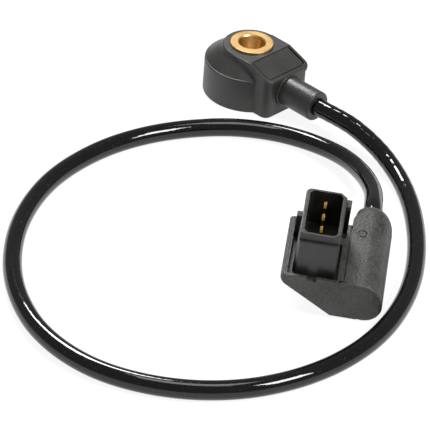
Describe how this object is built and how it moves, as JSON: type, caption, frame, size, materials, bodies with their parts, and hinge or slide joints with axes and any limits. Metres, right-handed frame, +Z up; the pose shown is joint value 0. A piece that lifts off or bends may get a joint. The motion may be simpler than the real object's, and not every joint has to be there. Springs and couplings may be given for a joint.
{
  "type": "engine knock sensor",
  "caption": "Knock sensor: a round moulded body on a brass bolt bush, with a loop of round cable to a side-entry blade connector.",
  "frame": {"origin": "centre of the bolt bore on the seating face, on the surface the part lies on", "axes": "+Z up along the bore, away from the seating face; +X from the bore along the cable stub; the connector lies towards +X and -Y"},
  "size_m": [0.1433, 0.1657, 0.0326],
  "materials": {
    "housing_nylon": "satin black glass-filled nylon moulding",
    "bush_brass": "turned brass, pale on the ring and darker in the bore",
    "sleeve_film": "natural plastic tube",
    "washer_film": "amber polyimide film",
    "contact_bronze": "tinned bronze sheet",
    "piezo_ceramic": "fired ceramic with silvered faces",
    "mass_steel": "turned steel",
    "spring_steel": "phosphated spring steel",
    "nut_steel": "zinc-plated steel",
    "lead_red": "red insulated wire",
    "lead_white": "white insulated wire",
    "lead_bare": "tinned screen braid gathered into one strand",
    "ferrule_tin": "tin-plated sheet",
    "jacket_pvc": "glossy black cable jacket",
    "back_shell_nylon": "spark-textured dark grey moulding",
    "socket_nylon": "smooth satin black moulding",
    "blade_gold": "gold-plated blade"
  },
  "bodies": {
    "root": {"sensor_housing": "housing_nylon", "brass_bush": "bush_brass", "insulating_sleeve": "sleeve_film", "lower_insulating_washer": "washer_film", "lower_contact_disc": "contact_bronze", "piezo_ring": "piezo_ceramic", "upper_contact_disc": "contact_bronze", "upper_insulating_washer": "washer_film", "seismic_mass": "mass_steel", "disc_spring": "spring_steel", "clamping_nut": "nut_steel", "signal_lead": "lead_red", "return_lead": "lead_white", "stub_crimp_ferrule": "ferrule_tin", "cable_jacket": "jacket_pvc", "connector_back_shell": "back_shell_nylon", "connector_socket": "socket_nylon", "connector_crimp_ferrule": "ferrule_tin", "blade_terminal_1": "blade_gold", "blade_terminal_2": "blade_gold", "blade_terminal_3": "blade_gold", "connector_lead_1": "lead_red", "connector_lead_2": "lead_white", "connector_lead_3": "lead_bare"}
  },
  "joints": []
}
